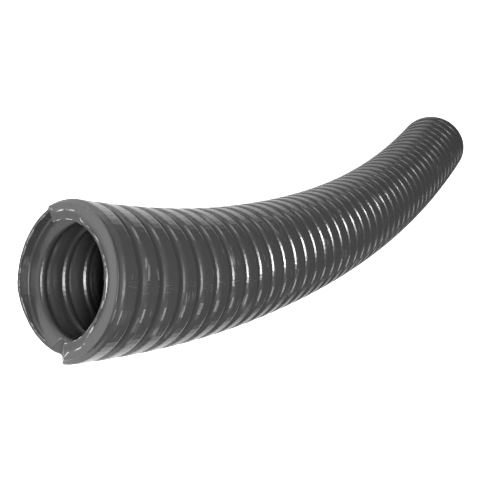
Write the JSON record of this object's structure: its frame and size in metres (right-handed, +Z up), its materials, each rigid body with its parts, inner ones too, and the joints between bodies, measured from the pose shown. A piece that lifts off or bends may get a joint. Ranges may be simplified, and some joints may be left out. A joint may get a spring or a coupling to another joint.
{
  "type": "corrugated conduit",
  "caption": "Short bent length of dark grey corrugated plastic conduit with annular ridges, a ribbed bore and cut ends, lying on its side.",
  "frame": {"origin": "middle of the footprint, on the floor under the lowest ridges", "axes": "+Z up from the floor, +X along the chord of the bend from the hand-cut end to the square one, +Y towards the inside of the bend"},
  "size_m": [0.196, 0.037, 0.025],
  "materials": {
    "conduit": "semi-gloss"
  },
  "bodies": {
    "root": {"conduit": "conduit"}
  },
  "joints": []
}
